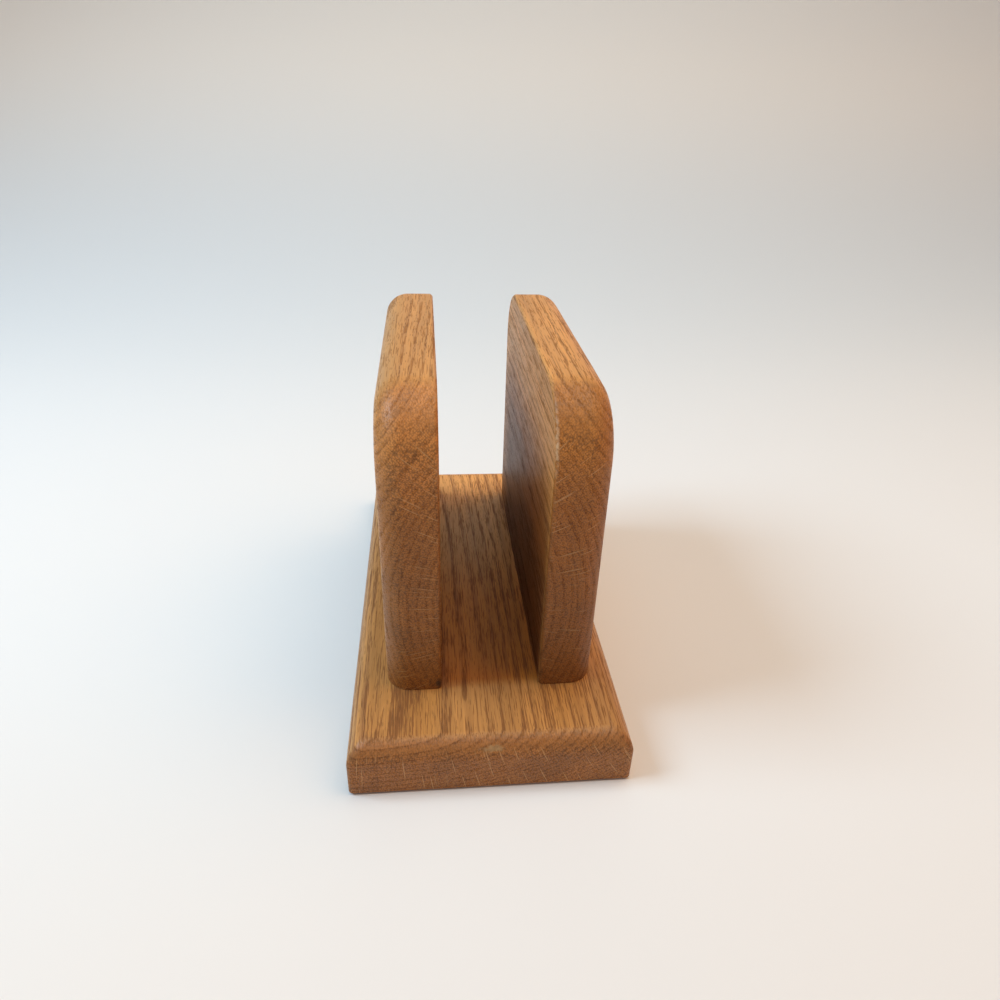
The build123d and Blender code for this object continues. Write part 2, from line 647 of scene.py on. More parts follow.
@dataclass(frozen=True)
class OakFinish:
    """One board's oak: where the tree's pith lay, how the rings run, its colours and its sheen.

    The pith's place and lean are in the frame of the whole object, and bow_mm is how far it rises at
    100 mm along the board. A slope is the sine of the angle between a surface and the grain: from its
    first value on a surface stops being long grain, and from its second it is all end grain. A contrast
    is how far a pattern's own colour covers the wood.
    """

    name: str
    pith_x_mm: float
    pith_z_mm: float
    lean_x: float
    lean_z: float
    mean_radius_mm: float
    ring_width_mm: float
    seed: float
    waviness_mm: float = 1.0
    bow_mm: float = 0.0
    wear: float = 0.6
    slot: Slot = Slot()
    blots: tuple[Blot, ...] = ()

    late_wood: Colour = (0.63, 0.275, 0.066)
    early_wood: Colour = (0.25, 0.092, 0.02)
    pore: Colour = (0.12, 0.042, 0.01)
    long_ray: Colour = (0.24, 0.085, 0.02)
    end_tone: Colour = (0.6, 0.47, 0.26)
    high_end_tone: Colour = (0.78, 0.66, 0.54)
    end_ray: Colour = (0.58, 0.31, 0.115)
    # Painted shade: the tint that darkens the wood in the slot between the uprights.
    slot_shade_tint: Colour = (0.29, 0.19, 0.1)
    worn: Colour = (0.68, 0.43, 0.24)
    # Painted shade: how dark the board is at its foot.
    foot_shade: float = 0.74

    pattern_slope: Span = (0.06, 0.34)
    tone_slope: Span = (0.05, 0.42)
    weave_slope: Span = (0.7, 0.98)
    ray_slope: Span = (0.75, 0.99)
    high_end_mm: Span = (85.0, 107.0)
    foot_shade_mm: Span = (19.0, 115.0)

    ring_contrast: float = 0.3
    end_ring_contrast: float = 0.36
    streak_contrast: float = 0.62
    end_streak_contrast: float = 0.15
    pore_contrast: float = 0.58
    end_pore_contrast: float = 0.3
    long_ray_contrast: float = 0.4
    end_ray_contrast: float = 0.74
    fine_ray_share: float = 0.3
    curved_weave: Span = (0.84, 1.16)
    flat_weave: Span = (0.64, 1.4)

    patch_cell: Triple = (11.0, 70.0, 7.0)
    darkest_ring: float = 0.93
    ring_tone_spread: float = 0.14
    patch_tones: Span = (0.7, 1.3)
    fibre_tones: Span = (0.72, 1.28)

    fibre_roughness: Span = (0.38, 0.54)
    open_grain_roughness: float = 0.24
    end_roughness: float = 0.1
    oil_coat: Span = (0.24, 0.03)
    coat_roughness: float = 0.36
    refraction: float = 1.5
    specular: float = 0.36
    fibre_relief: float = 0.35
    streak_relief: float = 0.4
    bump: Span = (0.4, 0.00012)

    def material(self, oak: OakPatterns) -> bpy.types.Material:
        """Builds the board's material.

        Args:
            oak: The shared oak patterns.

        Returns:
            The material.
        """
        made, g = new_material(self.name)
        place = g.node("ShaderNodeTexCoord").outputs["Object"]
        axes = g.group(
            oak.axes,
            Position=place,
            Pith_X=self.pith_x_mm,
            Pith_Z=self.pith_z_mm,
            Lean_X=self.lean_x,
            Lean_Z=self.lean_z,
            Bow=self.bow_mm,
            Mean_Radius=self.mean_radius_mm,
            Waviness=self.waviness_mm,
            Seed=self.seed,
        )
        wood = axes["Wood"]
        rings = g.group(oak.rings, Wood=wood, Ring_Width=self.ring_width_mm, Seed=self.seed)
        vessels = g.group(oak.vessels, Wood=wood, Early=rings["Early"], Seed=self.seed)
        rays = g.group(oak.rays, Straight=axes["Straight"], Seed=self.seed)
        cut = self._end_grain(g, self.tone_slope)
        shade = self.slot.shade(g, oak, place)

        colour = self._grain(g, wood, rings, vessels, rays)
        colour = self._ends(g, colour, place, cut, rays)
        # Painted shade: darkens the wood in the slot, where shade falls between the uprights.
        colour = g.blend(shade, colour, g.blend(1.0, colour, self.slot_shade_tint, Mark.TINT))
        for blot in self.blots:
            colour = blot.over(g, oak, place, colour)
        edge = g.node("ShaderNodeAttribute", attribute_name=WEAR).outputs["Fac"]
        wear = g.group(oak.wear, Position=place, Edge=edge, Amount=self.wear, Seed=self.seed)["Wear"]

        pores, streaks, fibre = vessels["Pores"], vessels["Streaks"], vessels["Fibre"]
        open_grain = g.math("MAXIMUM", pores, streaks)
        rough = g.between(fibre, *self.fibre_roughness)
        rough = g.math("MULTIPLY_ADD", open_grain, self.open_grain_roughness, rough)
        # The painted shade also takes the coat's sheen off the slot.
        coat = g.product(g.between(open_grain, *self.oil_coat), g.between(shade, 1.0, 0.0))
        relief = g.math("MULTIPLY_ADD", pores, -1.0, g.product(fibre, self.fibre_relief))
        g.surface(
            relief=g.math("MULTIPLY_ADD", streaks, -self.streak_relief, relief),
            bump=self.bump,
            Base_Color=g.blend(wear, colour, self.worn),
            Roughness=g.math("MULTIPLY_ADD", cut, self.end_roughness, rough),
            IOR=self.refraction,
            Specular_IOR_Level=self.specular,
            Coat_Weight=coat,
            Coat_Roughness=self.coat_roughness,
        )
        return made

    @staticmethod
    def _end_grain(g: Graph, slope: Span) -> Out:
        """How far a surface cuts across the grain, from 0 on long grain to 1 on an end."""
        along = g.split(g.node("ShaderNodeNewGeometry").outputs["Normal"])[1]
        return g.step(g.math("ABSOLUTE", along), *slope)

    def _grain(
        self,
        g: Graph,
        wood: Out,
        rings: Mapping[str, Out],
        vessels: Mapping[str, Out],
        rays: Mapping[str, Out],
    ) -> Out:
        """The colour of the wood's own patterns.

        Args:
            g: The material's graph.
            wood: The place in the tree.
            rings: What the growth rings put out.
            vessels: What the pores and fibres put out.
            rays: What the rays put out.

        Returns:
            The colour.
        """
        across, flat = self._end_grain(g, self.pattern_slope), self._end_grain(g, self.weave_slope)
        ring_share = g.product(rings["Early"], g.between(across, self.ring_contrast, self.end_ring_contrast))
        colour = g.blend(ring_share, self.late_wood, self.early_wood)
        patches = g.noise(wood, self.patch_cell, self.seed, detail=3.0)
        tone = g.product(
            g.math("MULTIPLY_ADD", rings["Tint"], self.ring_tone_spread, self.darkest_ring),
            g.between(patches, *self.patch_tones),
            g.between(vessels["Fibre"], *self.fibre_tones),
        )
        colour = g.blend(1.0, colour, g.grey(tone), Mark.TINT)
        for mask, over, on_face, on_end in (
            (vessels["Streaks"], self.early_wood, self.streak_contrast, self.end_streak_contrast),
            (vessels["Pores"], self.pore, self.pore_contrast, self.end_pore_contrast),
            (rays["Broad"], self.long_ray, self.long_ray_contrast, 0.0),
        ):
            colour = g.blend(g.product(mask, g.between(across, on_face, on_end)), colour, over)
        darkest, lightest = (g.between(flat, *ends) for ends in zip(self.curved_weave, self.flat_weave))
        weave = g.between(g.product(vessels["Weave"], across), g.between(across, 1.0, darkest), lightest)
        return g.blend(1.0, colour, g.grey(weave), Mark.TINT)

    def _ends(self, g: Graph, colour: Out, place: Out, cut: Out, rays: Mapping[str, Out]) -> Out:
        """Darkens the ends, draws their pale rays, and paints shade that darkens the board towards its foot.

        Args:
            g: The material's graph.
            colour: The colour of the wood's own patterns.
            place: The place on the board.
            cut: How far the surface cuts across the grain.
            rays: What the rays put out.

        Returns:
            The colour.
        """
        height = g.product(g.split(place)[2], MM_PER_M)
        end_tone = g.blend(g.step(height, *self.high_end_mm), self.end_tone, self.high_end_tone)
        colour = g.blend(cut, colour, g.blend(1.0, colour, end_tone, Mark.TINT))
        share = g.math("MULTIPLY_ADD", rays["Fine"], self.fine_ray_share, rays["Broad"])
        share = g.math("MULTIPLY", share, self.end_ray_contrast, clamp=True)
        colour = g.blend(g.product(share, self._end_grain(g, self.ray_slope)), colour, self.end_ray)
        # Painted shade: the board grows darker towards its foot.
        foot = g.between(g.step(height, *self.foot_shade_mm), self.foot_shade, 1.0)
        return g.blend(1.0, colour, g.grey(foot), Mark.TINT)


# Painted shade: a dark spot in the inner corner of the left upright's near foot, where it meets the base.
FOOT_CORNER_SHADE = Blot((-16.2, -67.0, 21.5), (1.6, 2.5, 2.2), (0.03, 0.012, 0.006), strength=0.85)
# Lighter wood at the far end of the base, with painted light and sheen on it: lightens and cools the colour
# there.
PALE_AND_LIT_FAR_END = Blot((5.0, 94.0, 19.0), (80.0, 46.0, 14.0), (1.5, 1.55, 1.75), ragged=0.5, mark=Mark.TINT)
GLUE_SMEAR = Blot((0.0, -90.5, 16.0), (5.0, 2.0, 1.3), (0.4, 0.27, 0.12), strength=0.5)


@dataclass(frozen=True)
class SteelFinish:
    """Zinc-plated steel of the screws, with the faint turning marks of a rolled part."""

    name: str = "zinc_plated_steel"
    bright: Colour = (0.66, 0.66, 0.64)
    dull: Colour = (0.42, 0.42, 0.41)
    blotch_cell: Triple = (1.6, 1.6, 1.6)
    blotch_seed: float = 3.0
    blotch: Span = (0.35, 0.65)
    mark_cell: Triple = (3.0, 3.0, 0.12)
    mark_seed: float = 7.0
    roughness: Span = (0.28, 0.46)
    bump: Span = (0.2, 0.00003)

    def material(self) -> bpy.types.Material:
        """Builds the screws' material.

        Returns:
            The material.
        """
        made, g = new_material(self.name)
        place = g.in_mm(g.node("ShaderNodeTexCoord").outputs["Object"])
        blotch = g.step(g.noise(place, self.blotch_cell, self.blotch_seed, detail=3.0), *self.blotch)
        marks = g.noise(place, self.mark_cell, self.mark_seed)
        g.surface(
            relief=marks,
            bump=self.bump,
            Base_Color=g.blend(blotch, self.dull, self.bright),
            Metallic=1.0,
            Roughness=g.between(marks, *self.roughness),
        )
        return made


@dataclass(frozen=True)
class CardFinish:
    """Matt pale card of the sweep, with painted light in its tint: warm in front, cooler and darker behind,
    and paler up the wall, as the studio light falls.
    """

    name: str = "matt_card"
    near: Colour = (0.8, 0.77, 0.735)
    middle: Colour = (0.8, 0.8, 0.79)
    behind: Colour = (0.7, 0.755, 0.79)
    wall: Colour = (0.92, 0.9, 0.85)
    near_reach: Span = (-0.2, 0.0)
    far_reach: Span = (0.0, 0.5)
    wall_reach: Span = (0.02, 0.24)
    roughness: float = 0.8
    specular: float = 0.2

    def material(self) -> bpy.types.Material:
        """Builds the sweep's material.

        Returns:
            The material.
        """
        made, g = new_material(self.name)
        _, y, z = g.split(g.node("ShaderNodeTexCoord").outputs["Object"])
        # Painted light: the tint changes with how the light falls over the sweep.
        colour = g.blend(g.step(y, *self.near_reach), self.near, self.middle)
        colour = g.blend(g.step(y, *self.far_reach), colour, self.behind)
        colour = g.blend(g.step(z, *self.wall_reach), colour, self.wall)
        g.surface(Base_Color=colour, Roughness=self.roughness, Specular_IOR_Level=self.specular)
        return made


# ---------------------------------------------------------------------------------------------
# Meshes
# ---------------------------------------------------------------------------------------------


def quarter_turn(steps: int, start: float, turn: float = 90.0) -> list[float]:
    """Angles in radians through a turn from start degrees, both ends included."""
    return [math.radians(start + turn * step / steps) for step in range(steps + 1)]


def edge_profile(thickness: float, low_radius: float, high_radius: float, steps: int) -> list[Triple]:
    """The section of a board's rim, from its first face to its second.

    Args:
        thickness: The board's thickness.
        low_radius: Radius of the edge at the first face.
        high_radius: Radius of the edge at the second face.
        steps: Steps in each rounded edge.

    Returns:
        For each point, how far it lies in from the rim, how far up it lies through the thickness,
        and the angle of its normal above the rim's own.
    """
    points = []
    low_edge = (low_radius, low_radius, -90.0)
    high_edge = (high_radius, thickness - high_radius, 0.0)
    for radius, centre, start in (low_edge, high_edge):
        for angle in quarter_turn(steps, start):
            points.append((radius * (1.0 - math.cos(angle)), centre + radius * math.sin(angle), angle))
    return points


def wobble(place: Vector, cell: float, seed: float) -> float:
    """A smooth random value from 0 to 1, with bumps of one size."""
    return 0.5 + 0.5 * noise.noise(place / cell + Vector((seed, seed, seed)))


def add_to_scene(name: str, data: bpy.types.ID) -> bpy.types.Object:
    """Makes an object and links it.

    Args:
        name: Its name.
        data: Its mesh, camera or light.

    Returns:
        The object.
    """
    made = bpy.data.objects.new(name, data)
    bpy.context.scene.collection.objects.link(made)
    return made


class Skin:
    """A mesh that is built from rows of points, with the normal of every corner given."""

    def __init__(self) -> None:
        """Starts an empty mesh."""
        self.mesh = bmesh.new()
        self.wear = self.mesh.verts.layers.float.new(WEAR)
        self.normal = self.mesh.loops.layers.float_vector.new(GIVEN_NORMAL)

    def point(self, place: Vector, wear: float = 0.0) -> Vert:
        """Adds one point.

        Args:
            place: Where it lies.
            wear: Its share of edge wear.

        Returns:
            The point.
        """
        made = self.mesh.verts.new(place)
        made[self.wear] = wear
        return made

    def _orient(self, face: bmesh.types.BMFace, outward: Vector) -> None:
        """Turns a face to look outward.

        Args:
            face: The face.
            outward: The way that it has to look.
        """
        face.normal_update()
        if face.normal.dot(outward) < 0.0:
            face.normal_flip()

    def band(self, first: Row, second: Row, closed: bool) -> None:
        """Joins two rows of points with four-sided faces.

        Args:
            first: Points and normals of one row.
            second: Points and normals of the next row.
            closed: Joins the rows' ends as well.
        """
        count = len(first)
        for i in range(count if closed else count - 1):
            j = (i + 1) % count
            corners = [first[i], first[j], second[j], second[i]]
            face = self.mesh.faces.new([vert for vert, _ in corners])
            self._orient(face, sum((normal for _, normal in corners), Vector()))
            given = dict(corners)
            for loop in face.loops:
                loop[self.normal] = given[loop.vert]

    def bands(self, rows: Sequence[Row], closed: bool) -> None:
        """Joins each row of points to the next."""
        for first, second in zip(rows, rows[1:]):
            self.band(first, second, closed)

    def flat(self, loops: Sequence[Sequence[Vert]], outward: Vector) -> None:
        """Fills a flat outline, with any holes left open.

        Args:
            loops: The outline and then its holes.
            outward: The face's normal.
        """
        edges = []
        for loop in loops:
            for a, b in zip(loop, [*loop[1:], loop[0]]):
                edges.append(self.mesh.edges.get((a, b)) or self.mesh.edges.new((a, b)))
        made = bmesh.ops.triangle_fill(self.mesh, use_beauty=True, use_dissolve=False, edges=edges)
        for face in made["geom"]:
            if isinstance(face, bmesh.types.BMFace):
                self._orient(face, outward)
                for loop in face.loops:
                    loop[self.normal] = outward

    def ring(self, centre: Vector, radius: float, count: int) -> list[Vert]:
        """Points round a level circle."""
        turns = (math.tau / count * i for i in range(count))
        return [self.point(centre + Vector((math.cos(turn), math.sin(turn), 0.0)) * radius) for turn in turns]

    def bore(self, centre: Vector, section: Sequence[Span], count: int) -> list[list[Vert]]:
        """The wall of an upright hole.

        Args:
            centre: A point on its axis.
            section: Radius and height of each edge of the wall, from the bottom up.
            count: Sides of the hole.

        Returns:
            The rings of points, from the bottom up.
        """
        rings = [self.ring(Vector((centre.x, centre.y, z)), radius, count) for radius, z in section]
        for index, pair in enumerate(zip(rings, rings[1:])):
            (low_radius, low_z), (high_radius, high_z) = section[index : index + 2]
            rise = Vector((high_radius - low_radius, high_z - low_z)).normalized()
            rows: list[Row] = []
            for ring in pair:
                rows.append([])
                for vert in ring:
                    out = (vert.co - centre).to_2d().normalized()
                    rows[-1].append((vert, Vector((-out.x * rise.y, -out.y * rise.y, rise.x))))
            self.bands(rows, closed=True)
        return rings

    def finish(self, name: str, material: bpy.types.Material) -> bpy.types.Object:
        """Turns the mesh into an object.

        Args:
            name: The piece's name.
            material: Its finish.

        Returns:
            The object.
        """
        data = bpy.data.meshes.new(name)
        self.mesh.to_mesh(data)
        self.mesh.free()
        data.polygons.foreach_set("use_smooth", [True] * len(data.polygons))
        given = data.attributes[GIVEN_NORMAL]
        data.normals_split_custom_set([tuple(item.vector) for item in given.data])
        data.attributes.remove(data.attributes[GIVEN_NORMAL])
        data.materials.append(material)
        return add_to_scene(name, data)


def dress(piece: bpy.types.Object, node: str) -> bpy.types.Object:
    """Puts a piece in the model in place of its node.

    Args:
        piece: The piece.
        node: The node that it stands for.

    Returns:
        The piece.
    """
    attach(piece, BODY)
    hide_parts(node)
    LOG.info("%s stands for %s, with %d faces", piece.name, node, len(piece.data.polygons))
    return piece


@dataclass(frozen=True)
class ScrewSizes:
    """One countersunk wood screw and its holes."""

    head_radius: float = 0.0041
    head_rim: float = 0.0004
    crest_radius: float = 0.0021
    root_radius: float = 0.00145
    point_radius: float = 0.0001
    pitch: float = 0.0028
    ridge_half_width: float = 0.25
    plain_shank: float = 0.013
    tip_length: float = 0.006
    head_angle: float = 82.0
    recess_span: float = 0.0046
    recess_arm: float = 0.0011
    recess_depth: float = 0.0022
    recess_floor: float = 0.0016
    head_clearance: float = 0.0002
    shank_clearance: float = 0.00015
    tip_clearance: float = 0.0015

    def cone(self, wide: float, narrow: float) -> float:
        """Height of the head's cone between two radii."""
        return (wide - narrow) / math.tan(math.radians(self.head_angle / 2.0))


class Screw:
    """One wood screw: countersunk head with a cross recess, shank, thread and gimlet point."""

    SIDES = 48
    ROWS_PER_TURN = 14
    SLOPE_STEP = 0.0001

    def __init__(self, node: str, sizes: ScrewSizes) -> None:
        """Reads the screw's place from the frame.

        Args:
            node: The screw's node in the frame.
            sizes: Its sizes.
        """
        low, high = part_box(node)
        self.node = node
        self.sizes = sizes
        self.foot = Vector(((low.x + high.x) / 2.0, (low.y + high.y) / 2.0, low.z))
        self.length = high.z - low.z

    def _radius(self, height: float, angle: float) -> float:
        """Radius of the shank, with the thread's helix.

        Args:
            height: The height above the foot.
            angle: The angle round the screw, in radians.

        Returns:
            The radius.
        """
        s = self.sizes
        if height < s.plain_shank:
            return s.crest_radius
        taper = min(1.0, (self.length - height) / s.tip_length)
        run_in = min(1.0, (height - s.plain_shank) / s.pitch)
        turn = (height / s.pitch - angle / math.tau) % 1.0
        ridge = max(0.0, 1.0 - abs(turn - 0.5) / s.ridge_half_width)
        root = s.crest_radius + (s.root_radius - s.crest_radius) * run_in
        return max(s.point_radius, taper * (root + (s.crest_radius - root) * ridge))

    def _shank_row(self, skin: Skin, height: float) -> Row:
        """One row of points round the shank.

        Args:
            skin: The mesh.
            height: The row's height above the foot.

        Returns:
            The points and their normals.
        """
        row = []
        for i in range(self.SIDES):
            angle = math.tau * i / self.SIDES
            out = Vector((math.cos(angle), math.sin(angle), 0.0))
            radius = self._radius(height, angle)
            slope = (self._radius(height + self.SLOPE_STEP, angle) - radius) / self.SLOPE_STEP
            normal = Vector((out.x, out.y, -slope)).normalized()
            row.append((skin.point(self.foot + out * radius + UP * height), normal))
        return row

    def _cross(self, skin: Skin, half_span: float, half_arm: float, height: float) -> list[Vert]:
        """The outline of the cross recess at one height.

        Args:
            skin: The mesh.
            half_span: Half the cross from end to end.
            half_arm: Half the width of an arm.
            height: The height above the foot.

        Returns:
            Its twelve corners.
        """
        arm_end = [(half_span, -half_arm), (half_span, half_arm), (half_arm, half_arm)]
        points = []
        for turn in range(4):
            spin = Matrix.Rotation(math.radians(90.0 * turn), 2)
            points += [spin @ Vector(point) for point in arm_end]
        return [skin.point(self.foot + Vector((p.x, p.y, height))) for p in points]

    def _face(self, skin: Skin) -> list[Vert]:
        """Makes the head's flat face with its cross recess.

        Args:
            skin: The mesh.

        Returns:
            The points round the face.
        """
        s = self.sizes
        face = skin.ring(self.foot, s.head_radius, self.SIDES)
        mouth = self._cross(skin, s.recess_span / 2.0, s.recess_arm / 2.0, 0.0)
        floor = self._cross(skin, s.recess_floor / 2.0, s.recess_arm / 4.0, s.recess_depth)
        skin.flat([face, mouth], DOWN)
        skin.flat([floor], DOWN)
        for i in range(len(mouth)):
            j = (i + 1) % len(mouth)
            wall = (floor[i].co - mouth[i].co).cross(mouth[j].co - mouth[i].co).normalized()
            inward = wall if wall.dot(self.foot - (mouth[i].co + mouth[j].co) / 2.0) > 0.0 else -wall
            skin.bands([[(ring[k], inward) for k in (i, j)] for ring in (mouth, floor)], closed=False)
        return face

    def build(self, material: bpy.types.Material) -> bpy.types.Object:
        """Makes the screw.

        Args:
            material: Its finish.

        Returns:
            The screw.
        """
        s = self.sizes
        skin = Skin()
        neck = s.head_rim + s.cone(s.head_radius, s.crest_radius)
        face = self._face(skin)
        rim = skin.ring(self.foot + UP * s.head_rim, s.head_radius, self.SIDES)
        outs = [(vert.co - self.foot).to_2d().normalized().to_3d() for vert in face]
        skin.band(list(zip(face, outs)), list(zip(rim, outs)), closed=True)
        rows = math.ceil((self.length - neck) / s.pitch * self.ROWS_PER_TURN)
        shank = [self._shank_row(skin, neck + (self.length - neck) * i / rows) for i in range(rows)]
        tilt = math.radians(s.head_angle / 2.0)
        cone = [out * math.cos(tilt) + UP * math.sin(tilt) for out in outs]
        neck_row = [(vert, normal) for (vert, _), normal in zip(shank[0], cone)]
        skin.band(list(zip(rim, cone)), neck_row, closed=True)
        skin.bands(shank, closed=True)
        skin.flat([[vert for vert, _ in shank[-1]]], UP)
        return dress(skin.finish(f"{self.node}_threaded", material), self.node)


@dataclass
class BaseBoard:
    """The board that lies on the table: top edges rounded over, corners and bottom edges sanded."""

    finish: OakFinish
    screws: list[Screw]
    node: str = "base_board"
    top_round: float = 0.0065
    bottom_ease: float = 0.001
    corner_ease: float = 0.0015
    corner_softening: float = 0.0014
    sanding: float = 0.00035
    sanding_cell: float = 0.03
    sanding_seed: float = 4.0
    bottom_wear: float = 0.5
    steps: int = 14
    side_step: float = 0.004
    hole_sides: int = 48

    def __post_init__(self) -> None:
        """Reads the board's box from the frame."""
        self.low, self.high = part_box(self.node)

    def outline(self, inset: float, lift: float) -> Line:
        """The board's outline at one level.

        Args:
            inset: How far it lies in from the board's widest outline.
            lift: Share of the way up the rounded top edge, where sanding has softened the corners more.

        Returns:
            Points and level outward normals, anticlockwise.
        """
        width, length = self.high.x - self.low.x, self.high.y - self.low.y
        half = Vector((width / 2.0 - inset, length / 2.0 - inset))
        radius = self.corner_ease + self.corner_softening * lift
        signs = ((1, 1), (-1, 1), (-1, -1), (1, -1))
        centres = [Vector((x * (half.x - radius), y * (half.y - radius))) for x, y in signs]
        points = []
        for index, centre in enumerate(centres):
            for angle in quarter_turn(self.steps // 2, 90.0 * index):
                out = Vector((math.cos(angle), math.sin(angle)))
                points.append((centre + out * radius, out))
            start, side = points[-1]
            end = centres[(index + 1) % len(centres)] + side * radius
            count = round((length if index % 2 else width) / self.side_step)
            points += [(start.lerp(end, i / count), side) for i in range(1, count)]
        return points

    def _rim_row(self, skin: Skin, inset: float, depth: float, angle: float) -> Row:
        """One row of points round the rim.

        Args:
            skin: The mesh.
            inset: How far the row lies in from the board's widest outline.
            depth: How far up it lies through the thickness.
            angle: The angle of its normals above the level.

        Returns:
            The points and their normals.
        """
        level, rise = math.cos(angle), math.sin(angle)
        edge = abs(math.sin(2.0 * angle))
        wear = self.bottom_wear * edge if angle < 0.0 else 0.0
        row = []
        for place, out in self.outline(inset, max(0.0, rise)):
            spot = Vector((place.x, place.y, self.low.z + depth))
            sanded = self.sanding * wobble(spot, self.sanding_cell, self.sanding_seed) * edge
            normal = Vector((out.x * level, out.y * level, rise))
            row.append((skin.point(spot - normal * sanded, wear), normal))
        return row

    def _screw_hole(self, skin: Skin, screw: Screw) -> list[list[Vert]]:
        """The countersunk hole round one screw.

        Args:
            skin: The mesh.
            screw: The screw.

        Returns:
            The rings of points, from the bottom up.
        """
        s = screw.sizes
        wide, narrow = s.head_radius + s.head_clearance, s.crest_radius + s.shank_clearance
        seat = screw.foot.z + s.head_rim - s.cone(wide, s.head_radius)
        neck = seat + s.cone(wide, narrow)
        section = [(wide, 0.0), (wide, seat), (narrow, neck), (narrow, self.high.z)]
        return skin.bore(screw.foot, section, self.hole_sides)

    def build(self, oak: OakPatterns) -> bpy.types.Object:
        """Makes the board.

        Args:
            oak: The shared oak patterns.

        Returns:
            The board.
        """
        skin = Skin()
        profile = edge_profile(self.high.z - self.low.z, self.bottom_ease, self.top_round, self.steps)
        rows = [self._rim_row(skin, *point) for point in profile]
        skin.bands(rows, closed=True)
        bores = [self._screw_hole(skin, screw) for screw in self.screws]
        for end, outward in ((0, DOWN), (-1, UP)):
            skin.flat([[vert for vert, _ in rows[end]], *[bore[end] for bore in bores]], outward)
        return dress(skin.finish("base_board_oak", self.finish.material(oak)), self.node)


@dataclass
class Upright:
    """One upright: top corners rounded, outer edges rounded over, inner edges only sanded."""

    finish: OakFinish
    screws: list[Screw]
    node: str
    corner_radius: float = 0.022
    outer_round: float = 0.008
    inner_ease: float = 0.0012
    foot_gap: float = 0.00025
    sanding: float = 0.0004
    sanding_cell: float = 0.02
    inner_seed_shift: float = 7.0
    steps: int = 12
    corner_steps: int = 28
    side_step: float = 0.004
    hole_sides: int = 48
    handled_reach: float = 0.021

    def __post_init__(self) -> None:
        """Reads the upright's box from the frame."""
        self.low, self.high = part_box(self.node)

    def handled(self, place: Vector) -> float:
        """Share of wear at a point of the outline: most where fingers slide napkins past a top corner.

        Args:
            place: The point, as (along, up).

        Returns:
            A value from 0 to 1.
        """
        lift = self.corner_radius * (1.0 - math.sqrt(0.5))
        corners = ((y, self.high.z - lift) for y in (self.low.y + lift, self.high.y - lift))
        gap = min((place - Vector(corner)).length for corner in corners)
        return max(0.0, 1.0 - (gap / self.handled_reach) ** 2)

    def path(self, inset: float, share: float, seed: float) -> Line:
        """The line over the upright from its near foot to its far foot.

        Args:
            inset: How far it lies in from the outline.
            share: How much of the hand sanding it has.
            seed: Moves the sanding's bumps.

        Returns:
            Points as (along, up) and their outward normals.
        """
        low, high = self.low, self.high
        near, far = low.y + self.corner_radius, high.y - self.corner_radius
        foot, shoulder = low.z, high.z - self.corner_radius
        count = math.ceil((shoulder - foot) / self.side_step)
        rise = [foot + (shoulder - foot) * i / count for i in range(count)]
        rise.insert(1, foot + self.foot_gap)
        span = high.y - low.y - 2.0 * self.corner_radius
        across = math.ceil(span / self.side_step)
        tops = [near + span * i / across for i in range(1, across)]
        points = [(Vector((low.y + inset, z)), Vector((-1.0, 0.0))) for z in rise]
        points += self._corner(near, 180.0, inset)
        points += [(Vector((y, high.z - inset)), Vector((0.0, 1.0))) for y in tops]
        points += self._corner(far, 90.0, inset)
        points += [(Vector((high.y - inset, z)), Vector((1.0, 0.0))) for z in reversed(rise)]
        made = []
        for index, (place, out) in enumerate(points):
            tuck = self.foot_gap if index in (0, len(points) - 1) else 0.0
            sanded = self.sanding * share * wobble(place.to_3d(), self.sanding_cell, seed)
            made.append((place - out * (sanded + tuck), out))
        return made

    def _corner(self, centre: float, start: float, inset: float) -> Line:
        """One rounded top corner.

        Args:
            centre: How far along the corner's centre lies.
            start: The angle that it starts from, in degrees.
            inset: How far the line lies in from the outline.

        Returns:
            Points as (along, up) and their outward normals.
        """
        middle = Vector((centre, self.high.z - self.corner_radius))
        turns = quarter_turn(self.corner_steps, start, -90.0)
        outs = [Vector((math.cos(turn), math.sin(turn))) for turn in turns]
        return [(middle + out * (self.corner_radius - inset), out) for out in outs]

    def _pilot_hole(self, skin: Skin, screw: Screw) -> list[Vert]:
        """The blind hole that one screw runs up into.

        Args:
            skin: The mesh.
            screw: The screw.

        Returns:
            The hole's mouth.
        """
        s = screw.sizes
        end = screw.foot.z + screw.length + s.tip_clearance
        section = [(s.crest_radius, self.low.z), (s.crest_radius, end)]
        mouth, top = skin.bore(screw.foot, section, self.hole_sides)
        skin.flat([top], DOWN)
        return mouth

    def build(self, oak: OakPatterns) -> bpy.types.Object:
        """Makes the upright.

        Args:
            oak: The shared oak patterns.

        Returns:
            The upright.
        """
        low, high = self.low, self.high
        outward = 1.0 if low.x > 0.0 else -1.0
        inner_x = low.x if outward > 0.0 else high.x
        across = Vector((outward, 0.0, 0.0))
        skin = Skin()
        rows = []
        profile = edge_profile(high.x - low.x, self.inner_ease, self.outer_round, self.steps)
        for inset, depth, angle in profile:
            inner = angle < 0.0
            share = abs(math.sin(2.0 * angle))
            seed = self.finish.seed + (self.inner_seed_shift if inner else 0.0)
            row = []
            for place, out in self.path(inset, share, seed):
                spot = Vector((inner_x + outward * depth, place.x, place.y))
                normal = Vector((0.0, out.x, out.y)) * math.cos(angle) + across * math.sin(angle)
                worn = share * self.handled(place) if inner else 0.0
                row.append((skin.point(spot, worn), normal))
            rows.append(row)
        skin.bands(rows, closed=False)
        skin.flat([[vert for vert, _ in rows[0]]], -across)
        skin.flat([[vert for vert, _ in rows[-1]]], across)
        mouths = [self._pilot_hole(skin, screw) for screw in self.screws]
        foot = [row[0][0] for row in rows] + [row[-1][0] for row in reversed(rows)]
        skin.flat([foot, *mouths], DOWN)
        return dress(skin.finish(f"{self.node}_oak", self.finish.material(oak)), self.node)


# ---------------------------------------------------------------------------------------------
# Stage
# ---------------------------------------------------------------------------------------------


